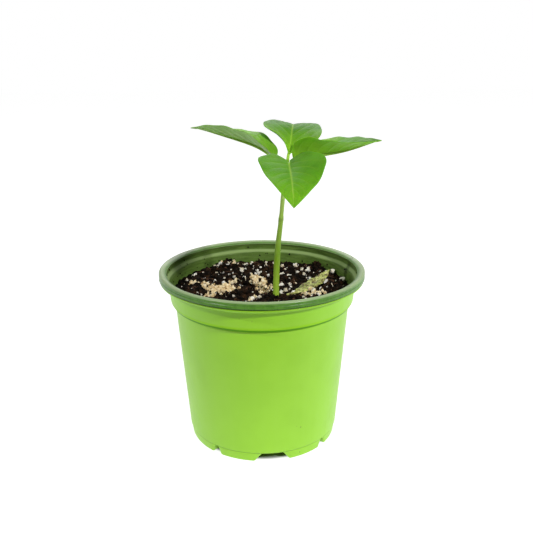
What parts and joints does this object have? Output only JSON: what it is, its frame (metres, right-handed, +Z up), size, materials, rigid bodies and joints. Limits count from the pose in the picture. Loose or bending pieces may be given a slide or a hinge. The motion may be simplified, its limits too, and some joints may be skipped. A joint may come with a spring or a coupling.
{
  "type": "potted bell pepper plant",
  "caption": "Young pepper seedling with broad pointed leaves on a bare upright stem, growing in soil in a round tapered nursery pot with a rolled lip and notched feet.",
  "frame": {"origin": "middle of the pot's base, on the surface that the pot stands on", "axes": "+Z up along the pot's axis; -Y is the side that the front leaf droops over; +X is the side that the right leaf points to"},
  "size_m": [0.122, 0.12, 0.1866],
  "materials": {
    "pot_plastic": "thin moulded polypropylene sheet, lime green outside with a soft sheen, dark green on the inside and lip",
    "potting_soil": "moist dark peat and bark crumbs with white perlite and tan grit, fully matte",
    "stem_green": "smooth green stalk with faint ridges, satin, paler towards the top",
    "leaf_green": "thin satin leaf blade, paler underneath, with yellow-green veins",
    "dry_leaf": "withered pale yellow-green leaf with brown specks, matte"
  },
  "bodies": {
    "root": {"pot": "pot_plastic", "soil": "potting_soil", "stem": "stem_green", "leaf_front": "leaf_green", "leaf_back": "leaf_green", "leaf_left": "leaf_green", "leaf_right": "leaf_green", "fallen_leaf": "dry_leaf"}
  },
  "joints": []
}
